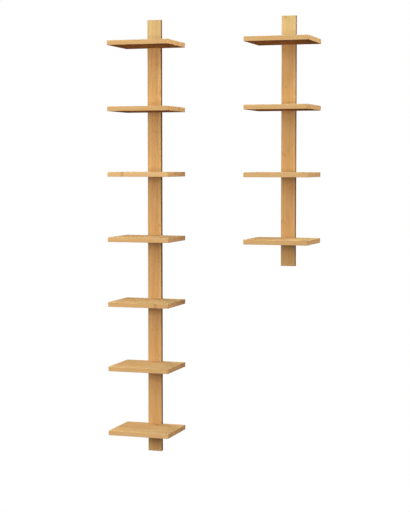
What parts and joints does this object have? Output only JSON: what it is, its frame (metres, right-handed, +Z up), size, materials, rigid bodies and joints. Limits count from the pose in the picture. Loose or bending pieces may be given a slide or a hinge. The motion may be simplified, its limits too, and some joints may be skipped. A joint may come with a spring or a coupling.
{
  "type": "wall shelf",
  "caption": "Slim wall shelves of laminated bamboo: upright spines carry square boards at an even pitch, and hang on hidden keyhole plates, as a tall and a short column.",
  "frame": {"origin": "on the wall plane, at the middle of the tall spine's back", "axes": "+X to the right along the wall seen from the room, +Y into the wall, +Z up"},
  "size_m": [0.787, 0.205, 1.7],
  "materials": {
    "bamboo_spine": "caramel laminated bamboo, strips upright, satin clear lacquer",
    "bamboo_board": "caramel laminated bamboo, strips across the width, satin clear lacquer",
    "zinc_plate": "zinc-plated pressed steel",
    "zinc_screw": "zinc-plated steel"
  },
  "bodies": {
    "root": {"tall_spine": "bamboo_spine", "tall_board_1": "bamboo_board", "tall_board_2": "bamboo_board", "tall_board_3": "bamboo_board", "tall_board_4": "bamboo_board", "tall_board_5": "bamboo_board", "tall_board_6": "bamboo_board", "tall_board_7": "bamboo_board", "tall_upper_hanger": "zinc_plate", "tall_lower_hanger": "zinc_plate", "tall_board_screws": "zinc_screw", "tall_hanger_screws": "zinc_screw", "short_spine": "bamboo_spine", "short_board_1": "bamboo_board", "short_board_2": "bamboo_board", "short_board_3": "bamboo_board", "short_board_4": "bamboo_board", "short_upper_hanger": "zinc_plate", "short_lower_hanger": "zinc_plate", "short_board_screws": "zinc_screw", "short_hanger_screws": "zinc_screw"}
  },
  "joints": []
}
